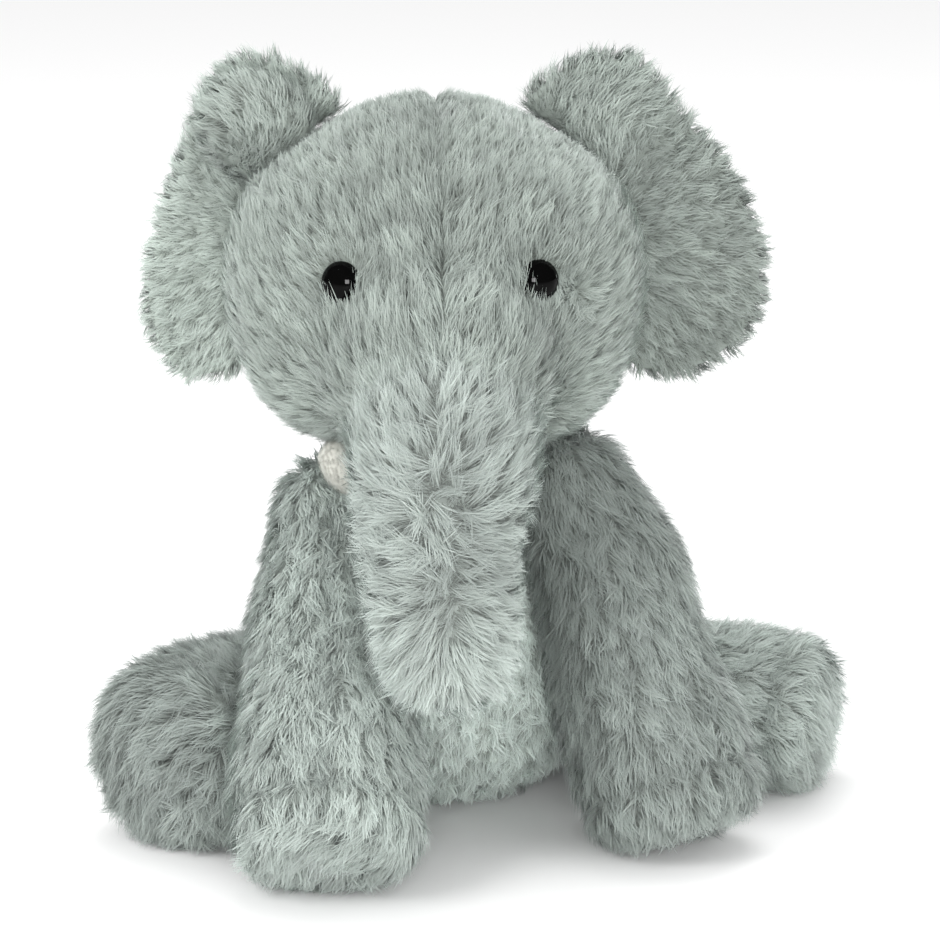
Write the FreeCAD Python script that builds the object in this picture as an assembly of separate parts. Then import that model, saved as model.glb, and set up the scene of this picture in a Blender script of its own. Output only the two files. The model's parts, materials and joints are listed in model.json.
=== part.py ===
import FreeCAD, Part
import math
import os

# A seated plush elephant. Millimetres. Z is up, the elephant faces -Y, and its own left is +X.
# The origin is the middle of the flat of its seat, on the surface that it sits on.
# Every solid is one sewn panel, filling, eye or washer. Surfaces are at the cloth of the
# plush, under the pile.

V = FreeCAD.Vector
UP = V(0, 0, 1)

# Cloth and clearances
CLOTH = 1.5              # plush backing with the roots of its pile
FILL_GAP = 0.2           # between a filling and the cloth round it
PLAY = 0.6               # between two bodies that move on each other

# Torso: a pear that leans forward, with a flat seat
TORSO_LEAN = 10.5        # degrees, towards -Y
TORSO_RADIUS = 43.0
TORSO_WAIST = 38.0       # height along its axis where it is widest
TORSO_TOP = 96.5
TORSO_DIP = 2.0          # how far the pear is cut off below, for the flat seat
POUCH = V(0, 5, 5)       # middle of the underside of the bean pouch in the seat
POUCH_RADIUS = 11.0
POUCH_HEIGHT = 17.0

# Neck: a stuffed ball that the head turns and nods on
NECK = V(-1.0, -19.0, 97.0)
NECK_RADIUS = 15.0
NECK_BAND = 8.0          # half height of the knitted band round it

# Head: a ball, wider than it is high, turned a little to its own left
HEAD = V(-1.6, -30.0, 141.0)
HEAD_HALF_WIDTH = 50.5
HEAD_RADIUS = 44.3
HEAD_TURN = 3.0
CHIN = V(0, -16, -41.5)  # middle of the flat of the stuffed chin, under the head
CHIN_HALF_WIDTH = 27.0
CHIN_RADIUS = 10.0

# Eyes: domed safety eyes, with a ribbed stem and a lock washer inside the cloth
EYE_OUT = 24.4           # from the middle of the face
EYE_UP = 6.5             # above the middle of the head
EYE_RADIUS = 6.0
EYE_DOME = 4.2
STEM_RADIUS = 1.6
STEM_LENGTH = 11.0
WASHER_RADIUS = 6.5
WASHER_THICK = 1.6
WASHER_PLAY = 0.05
WASHER_DEPTH = 0.5       # below the cloth, so that its rim clears the curve of the head

# Trunk, from the head's middle: a centre line through three points, and its radii
TRUNK_ROOT = V(0, -34, -15)
TRUNK_MIDDLE = V(0, -57, -45)
TRUNK_END = V(0, -62, -77)
TRUNK_ROOT_RADIUS = 22.0
TRUNK_END_RADIUS = 15.0
TRUNK_SOCKET_PLAY = 1.5  # the round seat of the trunk in the face, so that it can lift

# Ears: two cupped panels sewn edge to edge
EAR_THICK = 2.4          # each panel
EAR_CUP = 110.0          # radius of the hollow of the ear
EAR_BACK = 16.0          # how far the ear's middle stands behind the head's middle
EAR_GAP = 1.6            # between the ear's root edge and the head
EAR_ROOT_MIDDLE = 72.0   # degrees from the top of the head down to the middle of the root

# Legs: (root x, root y, heading from -Y towards +X, pitch down, length, root radius, foot
# radius). The end of each leg is a flat sole with a round edge, and it rests on the ground.
SOLE_EDGE = 9.0
LEGS = {
    "front_leg_left": (32.0, -28.0, 37.0, 58.0, 90.0, 15.0, 21.5),
    "front_leg_right": (-27.0, -36.0, 0.0, 46.0, 95.0, 14.0, 22.0),
    "hind_leg_left": (30.0, 8.0, 72.0, 2.0, 72.0, 17.0, 20.0),
    "hind_leg_right": (-27.0, -6.0, -38.0, 2.0, 72.0, 18.0, 23.5),
}
# Legs: the axis that each leg swings about, and how far
LEG_SWING = {
    "front_leg_left": (V(-1, 0, 0.4), 20.0),
    "front_leg_right": (V(-1, 0, -0.4), 20.0),
    "hind_leg_left": (V(0, -0.3, 1), 15.0),
    "hind_leg_right": (V(0, 0.3, -1), 15.0),
}

# Tail: a thin strip sewn into the middle of the back
TAIL_ROOT = V(0, 36, 36)
TAIL_END = V(0, 50, 10)
TAIL_RADIUS = 4.0
TAIL_WAG = 25.0


def save(name, shape):
    """Write one node, and say what it holds."""
    shape.exportStep(f"parts/{name}.step")
    box = shape.optimalBoundingBox(True, False)
    print(f"{name:26s} {len(shape.Solids)} solid, {shape.Volume / 1000:8.2f} cm3, "
          f"z {box.ZMin:6.1f} to {box.ZMax:6.1f}, valid {shape.isValid()}")


def say_joint(name, at, axis):
    """Print where a part turns."""
    at, axis = ([round(c, 4) for c in v] for v in (at, axis.normalize()))
    print(f"JOINT {name} at {at} about {axis}")


def revolved(edges):
    """Turn a closed outline in the XZ plane round Z."""
    face = Part.Face(Part.Wire(edges))
    return Part.Solid(face.revolve(V(0, 0, 0), UP, 360))


def arc(a, b, c):
    return Part.Arc(a, b, c).toShape()


def line(a, b):
    return Part.LineSegment(a, b).toShape()


def bezier(points):
    curve = Part.BezierCurve()
    curve.setPoles(points)
    return curve.toShape()


def turned(shape, centre, axis, degrees):
    copy = shape.copy()
    copy.rotate(centre, axis, degrees)
    return copy


def half_space(normal, at, size=400.0):
    """A big box on the side of a plane that its normal points to."""
    box = Part.makeBox(size, size, size, V(-size / 2, -size / 2, 0))
    box.Placement = FreeCAD.Placement(at, FreeCAD.Rotation(UP, normal))
    return box


# ---------------------------------------------------------------- head, in its own place
def place_head(shape):
    """Set a shape made round the head's middle into the toy."""
    shape = turned(shape, V(0, 0, 0), UP, HEAD_TURN)
    shape.translate(HEAD)
    return shape


def wide_ball(centre, half_width, radius):
    """A ball stretched along X."""
    half = Part.Ellipse(V(0, 0, 0), half_width, radius).toShape(0, math.pi)
    across = line(V(-half_width, 0, 0), V(half_width, 0, 0))
    face = Part.Face(Part.Wire([half, across]))
    ball = Part.Solid(face.revolve(V(0, 0, 0), V(1, 0, 0), 360))
    ball.translate(centre)
    return ball


def head_ball(inset=0.0):
    """The head about its own middle, made smaller by inset."""
    return wide_ball(V(0, 0, 0), HEAD_HALF_WIDTH - inset, HEAD_RADIUS - inset)


def chin_pad(inset=0.0):
    """Half of a wide ball, whose flat side lies against the underside of the head."""
    pad = wide_ball(CHIN, CHIN_HALF_WIDTH - inset, CHIN_RADIUS - inset)
    down = V(CHIN).normalize()
    return pad.common(half_space(down, down * (HEAD_RADIUS + FILL_GAP)))


def tube(path, radius_of, inset):
    """A solid lofted through circles along a path, with a domed start and end."""
    first, last = path.FirstParameter, path.LastParameter
    length = path.Length
    start_r, end_r = radius_of(0.0) - inset, radius_of(1.0) - inset
    dome = (math.radians(a) for a in (14, 35, 60))
    stations = [(-math.cos(a) * start_r, math.sin(a) * start_r) for a in dome]
    body = (0.0, 0.2, 0.4, 0.6, 0.8, 1.0)
    stations += [(t * length, radius_of(t) - inset) for t in body]
    dome = (math.radians(a) for a in (60, 35, 14))
    stations += [(length + math.cos(a) * end_r, math.sin(a) * end_r) for a in dome]
    rings = []
    for s, r in stations:
        t = first + (last - first) * min(max(s / length, 0.0), 1.0)
        run = path.tangentAt(t)
        beyond = s - min(max(s, 0.0), length)
        rings.append(Part.Wire(Part.makeCircle(r, path.valueAt(t) + run * beyond, run)))
    return Part.makeLoft(rings, True, False)


def trunk_radius(t):
    return TRUNK_ROOT_RADIUS + (TRUNK_END_RADIUS - TRUNK_ROOT_RADIUS) * t ** 1.3


def trunk(inset=0.0):
    path = Part.Edge(Part.Arc(TRUNK_ROOT, TRUNK_MIDDLE, TRUNK_END))
    return tube(path, trunk_radius, inset)


def ear_outline(points):
    curve = Part.BSplineCurve()
    curve.interpolate([V(x, 0, z) for x, z in points], PeriodicFlag=True)
    return Part.Wire(curve.toShape())


# From the head's middle, in the plane of each ear, going round from the top of its root
EAR_LEFT = [(24, 42), (37, 51), (50, 51), (60, 41), (73, 25), (83, 4), (81, -16),
            (67, -27), (52, -27), (44, -10), (38, 16)]
EAR_RIGHT = [(-24, 41), (-36, 50), (-48, 52), (-56, 43), (-64, 23), (-70, 4), (-71, -16),
             (-64, -26), (-51, -26), (-43, -10), (-36, 16)]


def ear_panels(points):
    """The front and back panel of one ear, about the head's middle."""
    middle_x = sum(x for x, z in points) / len(points)
    middle_z = sum(z for x, z in points) / len(points)
    face = Part.Face(ear_outline(points))
    slab = face.extrude(V(0, 120, 0))
    slab.translate(V(0, EAR_BACK - 60, 0))
    slab = slab.cut(head_ball(-EAR_GAP))
    eye_of_cup = V(middle_x, EAR_BACK - EAR_CUP, middle_z)
    shells = [Part.makeSphere(EAR_CUP + k * EAR_THICK, eye_of_cup) for k in range(3)]
    front = slab.common(shells[1].cut(shells[0]))
    back = slab.common(shells[2].cut(shells[1]))
    return largest(front), largest(back)


def largest(shape):
    return max(shape.Solids, key=lambda solid: solid.Volume)


def eye_site(side):
    """Where an eye's stem crosses the cloth, and the outward direction there."""
    x, z = side * EYE_OUT, EYE_UP
    y = -HEAD_RADIUS * math.sqrt(1 - (x / HEAD_HALF_WIDTH) ** 2 - (z / HEAD_RADIUS) ** 2)
    out = V(x / HEAD_HALF_WIDTH ** 2, y / HEAD_RADIUS ** 2, z / HEAD_RADIUS ** 2)
    return V(x, y, z), out.normalize()


def stem_hole(side, radius):
    at, out = eye_site(side)
    return Part.makeCylinder(radius, 3 * STEM_LENGTH, at - out * 2 * STEM_LENGTH, out)


def eye(side):
    """A shallow dome on a stem."""
    dome = revolved([
        line(V(0, 0, 0), V(EYE_RADIUS, 0, 0)),
        bezier([V(EYE_RADIUS, 0, 0), V(EYE_RADIUS, 0, EYE_DOME * 0.75),
                V(EYE_RADIUS * 0.55, 0, EYE_DOME), V(0, 0, EYE_DOME)]),
        line(V(0, 0, EYE_DOME), V(0, 0, 0)),
    ])
    stem = Part.makeCylinder(STEM_RADIUS, STEM_LENGTH, V(0, 0, -STEM_LENGTH))
    whole = dome.fuse(stem).removeSplitter()
    at, out = eye_site(side)
    whole.Placement = FreeCAD.Placement(at + out * 0.6, FreeCAD.Rotation(UP, out))
    return Part.Solid(whole.Solids[0])


def washer(side):
    """A lock washer pushed up the stem, just inside the cloth."""
    at, out = eye_site(side)
    inside = at - out * (CLOTH + WASHER_DEPTH + WASHER_THICK)
    disc = Part.makeCylinder(WASHER_RADIUS, WASHER_THICK, inside, out)
    return disc.cut(stem_hole(side, STEM_RADIUS + WASHER_PLAY))


# ---------------------------------------------------------------- torso
def torso_pear(inset=0.0):
    r, low, top = TORSO_RADIUS - inset, -TORSO_DIP + inset, TORSO_TOP - inset
    k = 0.5523                      # makes a Bezier curve a quarter of an ellipse
    below = TORSO_WAIST - low
    pear = revolved([
        line(V(0, 0, top), V(0, 0, low)),
        bezier([V(0, 0, low), V(k * r, 0, low), V(r, 0, TORSO_WAIST - k * below),
                V(r, 0, TORSO_WAIST)]),
        bezier([V(r, 0, TORSO_WAIST), V(r, 0, TORSO_WAIST + 27), V(0.6 * r, 0, top),
                V(0, 0, top)]),
    ])
    pear = turned(pear, V(0, 0, 0), V(1, 0, 0), TORSO_LEAN)
    return pear.common(half_space(UP, V(0, 0, inset)))


# ---------------------------------------------------------------- legs
def leg_frame(name):
    """The joint's place, the direction along the leg, and the length to its sole."""
    x, y, heading, pitch, length, root_r, foot_r = LEGS[name]
    h, p = math.radians(heading), math.radians(pitch)
    along = V(math.sin(h) * math.cos(p), -math.cos(h) * math.cos(p), -math.sin(p))
    rest = (length - SOLE_EDGE) * math.sin(p) + (foot_r - SOLE_EDGE) * math.cos(p) + SOLE_EDGE
    return V(x, y, rest), along, length


def leg(name, inset=0.0):
    """A leg: round at the root, wider at the foot, with a flat sole."""
    root, along, length = leg_frame(name)
    root_r, foot_r = LEGS[name][5] - inset, LEGS[name][6] - inset
    edge, end = SOLE_EDGE - inset, length - inset
    corner = length - SOLE_EDGE
    flat = foot_r - edge
    c = math.sqrt(0.5)
    solid = revolved([
        line(V(0, 0, end), V(0, 0, -root_r)),
        arc(V(0, 0, -root_r), V(root_r * c, 0, -root_r * c), V(root_r, 0, 0)),
        bezier([V(root_r, 0, 0), V(root_r, 0, 0.5 * corner), V(foot_r, 0, 0.55 * corner),
                V(foot_r, 0, corner)]),
        arc(V(foot_r, 0, corner), V(flat + edge * c, 0, corner + edge * c), V(flat, 0, end)),
        line(V(flat, 0, end), V(0, 0, end)),
    ])
    solid.Placement = FreeCAD.Placement(root, FreeCAD.Rotation(UP, along))
    return solid


def swept(shape, centre, axis, degrees, steps=3):
    """The shape at each of a few steps of its swing, as one list of cutters."""
    return [turned(shape, centre, axis, degrees * k / (steps - 1)) for k in range(steps)]


def cut_by(shape, tools):
    for tool in tools:
        shape = shape.cut(tool)
    return shape


# ---------------------------------------------------------------- tail
def tail(inset=0.0):
    run = TAIL_END - TAIL_ROOT
    length, r = run.Length, TAIL_RADIUS - inset
    c = math.sqrt(0.5)
    solid = revolved([
        line(V(0, 0, length + r), V(0, 0, -r)),
        arc(V(0, 0, -r), V(r * c, 0, -r * c), V(r, 0, 0)),
        line(V(r, 0, 0), V(r, 0, length)),
        arc(V(r, 0, length), V(r * c, 0, length + r * c), V(0, 0, length + r)),
    ])
    solid.Placement = FreeCAD.Placement(TAIL_ROOT, FreeCAD.Rotation(UP, run))
    return solid


def build_head():
    skin = head_ball().cut(head_ball(CLOTH))
    fill = head_ball(CLOTH + FILL_GAP)
    clear = [trunk(-PLAY), Part.makeSphere(TRUNK_ROOT_RADIUS + TRUNK_SOCKET_PLAY, TRUNK_ROOT)]
    neck_at = FreeCAD.Rotation(UP, -HEAD_TURN).multVec(NECK - HEAD)
    clear.append(Part.makeSphere(NECK_RADIUS + PLAY, neck_at))
    skin, fill = cut_by(skin, clear), cut_by(fill, clear)
    for side in (-1, 1):
        skin = skin.cut(stem_hole(side, STEM_RADIUS))
        fill = fill.cut(stem_hole(side, STEM_RADIUS)).cut(washer(side)).cut(eye(side))
        skin = skin.cut(eye(side))
    left = half_space(V(1, 0, 0), V(0, 0, 0))
    save("head_side_left", place_head(largest(skin.common(left))))
    save("head_side_right", place_head(largest(skin.cut(left))))
    for side, word in ((1, "left"), (-1, "right")):
        cheek = half_space(V(side, 0, 0), V(side * FILL_GAP / 2, 0, 0))
        save(f"head_filling_{word}", place_head(largest(fill.common(cheek))))
    hollow = wide_ball(CHIN, CHIN_HALF_WIDTH - CLOTH, CHIN_RADIUS - CLOTH)
    save("chin_gusset", place_head(largest(chin_pad().cut(hollow))))
    save("chin_filling", place_head(largest(chin_pad(CLOTH + FILL_GAP))))
    for side, word in ((1, "left"), (-1, "right")):
        save(f"eye_{word}", place_head(eye(side)))
        save(f"eye_washer_{word}", place_head(washer(side)))


def build_trunk():
    skin = trunk().cut(trunk(CLOTH))
    left = half_space(V(1, 0, 0), V(0, 0, 0))
    save("trunk_side_left", place_head(largest(skin.common(left))))
    save("trunk_side_right", place_head(largest(skin.cut(left))))
    save("trunk_filling", place_head(trunk(CLOTH + FILL_GAP)))
    turn = FreeCAD.Rotation(UP, HEAD_TURN)
    say_joint("trunk", turn.multVec(TRUNK_ROOT) + HEAD, turn.multVec(V(-1, 0, 0)))


def ear_hinge(side):
    """A point on the root seam of an ear and the direction of the seam there."""
    shrink = math.sqrt(1 - (EAR_BACK / HEAD_RADIUS) ** 2)
    wide, high = HEAD_HALF_WIDTH * shrink + EAR_GAP, HEAD_RADIUS * shrink + EAR_GAP
    a = math.radians(EAR_ROOT_MIDDLE)
    at = V(side * wide * math.sin(a), EAR_BACK, high * math.cos(a))
    along = V(side * wide * math.cos(a), 0, -high * math.sin(a))
    return at, along.normalize()


def build_ears():
    for side, word, points in ((1, "left", EAR_LEFT), (-1, "right", EAR_RIGHT)):
        front, back = ear_panels(points)
        save(f"ear_front_{word}", place_head(front))
        save(f"ear_back_{word}", place_head(back))
        at, along = ear_hinge(side)
        turn = FreeCAD.Rotation(UP, HEAD_TURN)
        say_joint(f"ear_{word}", turn.multVec(at) + HEAD, turn.multVec(along))


def build_neck():
    band = Part.makeSphere(NECK_RADIUS, NECK).cut(Part.makeSphere(NECK_RADIUS - CLOTH, NECK))
    slab = Part.makeBox(60, 60, 2 * NECK_BAND, NECK - V(30, 30, NECK_BAND))
    save("neck_band", largest(band.common(slab)))
    core = Part.makeSphere(NECK_RADIUS - CLOTH - FILL_GAP, NECK).common(slab)
    save("neck_filling", largest(core))


def build_torso():
    outer, inner = torso_pear(), torso_pear(CLOTH)
    fill = torso_pear(CLOTH + FILL_GAP)
    pouch = Part.makeCylinder(POUCH_RADIUS, POUCH_HEIGHT, POUCH)
    pouch = pouch.makeFillet(POUCH_HEIGHT * 0.4, pouch.Edges)
    skin = outer.cut(inner)
    clear = [Part.makeSphere(NECK_RADIUS + PLAY, NECK)]
    for name, (axis, swing) in LEG_SWING.items():
        root = leg_frame(name)[0]
        clear += swept(leg(name, -PLAY), root, axis, swing)
    for wag in (-TAIL_WAG, 0, TAIL_WAG):
        clear.append(turned(tail(-PLAY), TAIL_ROOT, UP, wag))
    skin, fill = cut_by(skin, clear), cut_by(fill, clear)
    front = half_space(V(0, -1, 0), V(0, -8, 0))
    left = half_space(V(1, 0, 0), V(0, 0, 0))
    back = skin.cut(front)
    save("belly_panel", largest(skin.common(front)))
    save("back_panel_left", largest(back.common(left)))
    save("back_panel_right", largest(back.cut(left)))
    save("torso_filling", largest(fill.cut(pouch)))
    save("bean_pouch", pouch)


def build_legs():
    for name in LEGS:
        root, along, length = leg_frame(name)
        skin = leg(name).cut(leg(name, CLOTH))
        end = half_space(along, root + along * (length - SOLE_EDGE))
        across = along.cross(UP).normalize()
        if across.x * root.x < 0:
            across = -across
        outside = half_space(across, root)
        shank = skin.cut(end)
        save(f"{name}_sole", largest(skin.common(end)))
        save(f"{name}_outer", largest(shank.common(outside)))
        save(f"{name}_inner", largest(shank.cut(outside)))
        save(f"{name}_filling", leg(name, CLOTH + FILL_GAP))
        say_joint(name, root, LEG_SWING[name][0])


def main():
    os.makedirs("parts", exist_ok=True)
    build_head()
    build_trunk()
    build_ears()
    build_neck()
    build_torso()
    build_legs()
    save("tail_strip", tail())


main()
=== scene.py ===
# %% [markdown]
# # A seated plush elephant
# The toy is sewn from plush: a woven backing with a thick pile of fine fibres. What the eye
# sees is almost all pile, so this lesson makes two things for each stuffed part. First comes
# its skin, a smooth closed form as firm filling gives it, with the seams pulled in. Then
# Geometry Nodes plant tens of thousands of small tufts on it and comb them.
# The frame comes first: it holds each part's place, size and joint.

# %% Load the frame
import json
import math

import bmesh
import bpy
import numpy as np
from mathutils import Matrix, Vector

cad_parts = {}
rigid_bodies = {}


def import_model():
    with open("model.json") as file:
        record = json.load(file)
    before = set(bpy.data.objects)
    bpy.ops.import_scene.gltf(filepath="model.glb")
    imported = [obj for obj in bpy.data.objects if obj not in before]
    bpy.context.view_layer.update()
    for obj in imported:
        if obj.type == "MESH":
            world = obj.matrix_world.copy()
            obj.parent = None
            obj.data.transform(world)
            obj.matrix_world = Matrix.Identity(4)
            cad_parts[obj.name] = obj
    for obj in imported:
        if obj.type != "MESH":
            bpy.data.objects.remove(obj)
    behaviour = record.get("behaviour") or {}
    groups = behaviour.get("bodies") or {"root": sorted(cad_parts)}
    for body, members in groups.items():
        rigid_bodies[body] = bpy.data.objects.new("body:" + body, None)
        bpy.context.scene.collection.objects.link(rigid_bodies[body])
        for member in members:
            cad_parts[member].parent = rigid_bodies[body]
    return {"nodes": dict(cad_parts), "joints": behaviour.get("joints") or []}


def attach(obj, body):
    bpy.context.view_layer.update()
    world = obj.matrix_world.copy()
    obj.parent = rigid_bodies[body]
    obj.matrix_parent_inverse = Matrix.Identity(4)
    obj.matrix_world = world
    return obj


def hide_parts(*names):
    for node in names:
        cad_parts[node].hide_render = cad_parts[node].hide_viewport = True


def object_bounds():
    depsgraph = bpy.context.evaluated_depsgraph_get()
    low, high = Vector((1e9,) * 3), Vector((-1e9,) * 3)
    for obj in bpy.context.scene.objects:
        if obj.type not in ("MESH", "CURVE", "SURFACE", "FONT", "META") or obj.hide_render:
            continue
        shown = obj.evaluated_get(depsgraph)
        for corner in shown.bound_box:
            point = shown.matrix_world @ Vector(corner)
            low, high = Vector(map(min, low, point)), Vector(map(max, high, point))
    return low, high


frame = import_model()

MM = 0.001
cad_box = [list(corner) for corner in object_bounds()]
joints = {j["child"]: np.array(j["pos_m"]) for j in frame["joints"]}
print("CAD box", [[round(c, 4) for c in corner] for corner in cad_box])

# %% [markdown]
# ## Measuring the frame
# The places of the stuffed parts are read from the CAD: a leg's root is its joint, and its
# sole gives its direction. Small shapes, such as a tuck or a fold, are placed from the
# head's middle or from a joint.


# %% Read points and boxes
def points_of(*nodes):
    """The corners of these CAD nodes' meshes, one row each."""
    rows = []
    for node in nodes:
        mesh = frame["nodes"][node].data
        flat = np.empty(len(mesh.vertices) * 3, np.float32)
        mesh.vertices.foreach_get("co", flat)
        rows.append(flat.reshape(-1, 3).astype(float))
    return np.vstack(rows)


def unit(v):
    """Rows of v at length 1."""
    v = np.asarray(v, float)
    return v / np.maximum(np.linalg.norm(v, axis=-1, keepdims=True), 1e-12)


def middle_of(*nodes):
    p = points_of(*nodes)
    return (p.min(0) + p.max(0)) / 2


eyes = [middle_of("eye_right"), middle_of("eye_left")]
face_right_to_left = unit(eyes[1] - eyes[0])
head_turn = math.atan2(face_right_to_left[1], face_right_to_left[0])
ball = points_of("head_side_left", "head_side_right")
head_high = (ball[:, 2].max() - ball[:, 2].min()) / 2
head_wide = (ball[:, 0].max() - ball[:, 0].min()) / 2
head_at = np.array([
    (ball[:, 0].max() + ball[:, 0].min()) / 2,
    ball[:, 1].max() - head_high,
    ball[:, 2].max() - head_high,
])
print("head middle", head_at.round(4), "half width", round(head_wide, 4),
      "radius", round(head_high, 4), "turn", round(math.degrees(head_turn), 2))

# %% [markdown]
# ## Camera, floor and light
# A toy like this is shown on white, lit by large soft boxes. A long lens well back keeps the
# head and the feet in their true proportions. One large light on the left models the form,
# a weaker one on the right keeps its shadows open, and a light behind brightens the tips of
# the pile along every edge. One more is seen only in polish: it puts the single highlight in
# each eye, and the plush takes nothing from it.

# %% Camera
ELEVATION = math.radians(14)
DISTANCE = 1.024
LENS = 153.2
AIM_SIDE = -0.65 * MM
AIM_UP = -8.8 * MM

low, high = np.array(cad_box)
aim = (low + high) / 2 + np.array([AIM_SIDE, 0, AIM_UP])
aim[1] = -22 * MM
camera = bpy.data.objects.new("camera", bpy.data.cameras.new("camera"))
bpy.context.collection.objects.link(camera)
camera.data.lens = LENS
back = Vector((0, -math.cos(ELEVATION), math.sin(ELEVATION)))
camera.location = Vector(aim) + back * DISTANCE
camera.rotation_euler = back.to_track_quat("Z", "Y").to_euler()
camera.data.clip_end = 50
bpy.context.scene.camera = camera
bpy.context.scene.view_settings.view_transform = "Standard"
print("camera aims at", aim.round(4))

# %% Floor and lights
FLOOR_SIZE = 12.0


def plain_material(name, colour, roughness):
    material = bpy.data.materials.new(name)
    material.use_nodes = True
    shader = material.node_tree.nodes["Principled BSDF"]
    shader.inputs["Base Color"].default_value = (*colour, 1)
    shader.inputs["Roughness"].default_value = roughness
    return material


bpy.ops.mesh.primitive_plane_add(size=FLOOR_SIZE)
floor = bpy.context.object
floor.name = "floor"
floor.data.materials.append(plain_material("floor_white", (0.93, 0.93, 0.93), 0.8))

world = bpy.data.worlds.new("studio")
world.use_nodes = True
world.node_tree.nodes["Background"].inputs["Color"].default_value = (1, 1, 1, 1)
world.node_tree.nodes["Background"].inputs["Strength"].default_value = 1.0
bpy.context.scene.world = world
world.cycles_visibility.glossy = False      # or every eye would mirror the white room


def soft_box(name, place, size, power):
    """An area light that faces the toy."""
    light = bpy.data.lights.new(name, "AREA")
    light.size, light.energy = size, power
    box = bpy.data.objects.new(name, light)
    bpy.context.collection.objects.link(box)
    box.location = place
    box.rotation_euler = (Vector(place) - Vector(aim)).to_track_quat("Z", "Y").to_euler()
    return box


key = soft_box("key", (-0.75, -0.75, 0.85), 0.5, 6.5)
front = soft_box("front", (0.05, -1.2, 0.40), 0.42, 5.0)
front.data.shape, front.data.size_y = "RECTANGLE", 0.26
fill = soft_box("fill", (0.9, -0.7, 0.3), 0.8, 2.5)
top = soft_box("top", (0.1, 0.35, 1.1), 0.8, 5.0)
for light in (key, front, fill, top):
    light.visible_glossy = False
glint = soft_box("glint", (0.05, -1.2, 0.42), 0.46, 26.0)
glint.data.shape, glint.data.size_y = "RECTANGLE", 0.36
glint.visible_diffuse = False

# %% [markdown]
# ## The colour of pile
# Each fibre is dark and a little warm at its root, where no light reaches, and pale at its
# tip. Every tuft also differs a little from the next. Both are a lookup: across a small map,
# from left to right, goes the tuft's tone, and upwards goes the way from root to tip. Every
# blade of pile lies in that map as a narrow upright strip.

# %% Shader group for pile
PILE_MAP = "OFBake"


def new_group(name, inputs, outputs):
    group = bpy.data.node_groups.new(name, "ShaderNodeTree")
    for label, kind, value in inputs:
        socket = group.interface.new_socket(label, in_out="INPUT", socket_type=kind)
        socket.default_value = value
    for label, kind in outputs:
        group.interface.new_socket(label, in_out="OUTPUT", socket_type=kind)
    return group, group.nodes.new("NodeGroupInput"), group.nodes.new("NodeGroupOutput")


def link(tree, a, b):
    tree.links.new(a, b)


def pile_colour_group():
    group, given, result = new_group(
        "pile_colour",
        [("Root", "NodeSocketColor", (0.1, 0.1, 0.1, 1)),
         ("Middle", "NodeSocketColor", (0.3, 0.3, 0.3, 1)),
         ("Tip", "NodeSocketColor", (0.6, 0.6, 0.6, 1)),
         ("Dark tuft", "NodeSocketFloat", 0.6), ("Light tuft", "NodeSocketFloat", 1.3)],
        [("Color", "NodeSocketColor")],
    )
    nodes = group.nodes
    place = nodes.new("ShaderNodeUVMap")
    place.uv_map = PILE_MAP
    apart = nodes.new("ShaderNodeSeparateXYZ")
    link(group, place.outputs["UV"], apart.inputs[0])
    lower = nodes.new("ShaderNodeMapRange")
    lower.inputs["From Max"].default_value = 0.5
    upper = nodes.new("ShaderNodeMapRange")
    upper.inputs["From Min"].default_value = 0.45
    mixes = []
    for part, a, b in ((lower, "Root", "Middle"), (upper, None, "Tip")):
        link(group, apart.outputs["Y"], part.inputs["Value"])
        mix = nodes.new("ShaderNodeMix")
        mix.data_type = "RGBA"
        link(group, part.outputs["Result"], mix.inputs["Factor"])
        source = given.outputs[a] if a else mixes[0].outputs["Result"]
        link(group, source, mix.inputs["A"])
        link(group, given.outputs[b], mix.inputs["B"])
        mixes.append(mix)
    for mix in mixes:
        mix.clamp_factor = True
    tone = nodes.new("ShaderNodeMapRange")
    link(group, apart.outputs["X"], tone.inputs["Value"])
    link(group, given.outputs["Dark tuft"], tone.inputs["To Min"])
    link(group, given.outputs["Light tuft"], tone.inputs["To Max"])
    scaled = nodes.new("ShaderNodeVectorMath")
    scaled.operation = "SCALE"
    link(group, mixes[1].outputs["Result"], scaled.inputs[0])
    link(group, tone.outputs["Result"], scaled.inputs["Scale"])
    link(group, scaled.outputs["Vector"], result.inputs["Color"])
    return group


pile_colour = pile_colour_group()


def pile_material(name, root, middle, tip, dark=0.62, light=1.32):
    material = bpy.data.materials.new(name)
    material.use_nodes = True
    tree = material.node_tree
    shader = tree.nodes["Principled BSDF"]
    colour = tree.nodes.new("ShaderNodeGroup")
    colour.node_tree = pile_colour
    for label, value in (("Root", root), ("Middle", middle), ("Tip", tip)):
        colour.inputs[label].default_value = (*value, 1)
    colour.inputs["Dark tuft"].default_value = dark
    colour.inputs["Light tuft"].default_value = light
    link(tree, colour.outputs["Color"], shader.inputs["Base Color"])
    shader.inputs["Roughness"].default_value = 0.85
    shader.inputs["Specular IOR Level"].default_value = 0.15
    shader.inputs["Sheen Weight"].default_value = 0.55
    shader.inputs["Sheen Roughness"].default_value = 0.4
    shader.inputs["Sheen Tint"].default_value = (0.88, 0.95, 0.92, 1)
    return material


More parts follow.
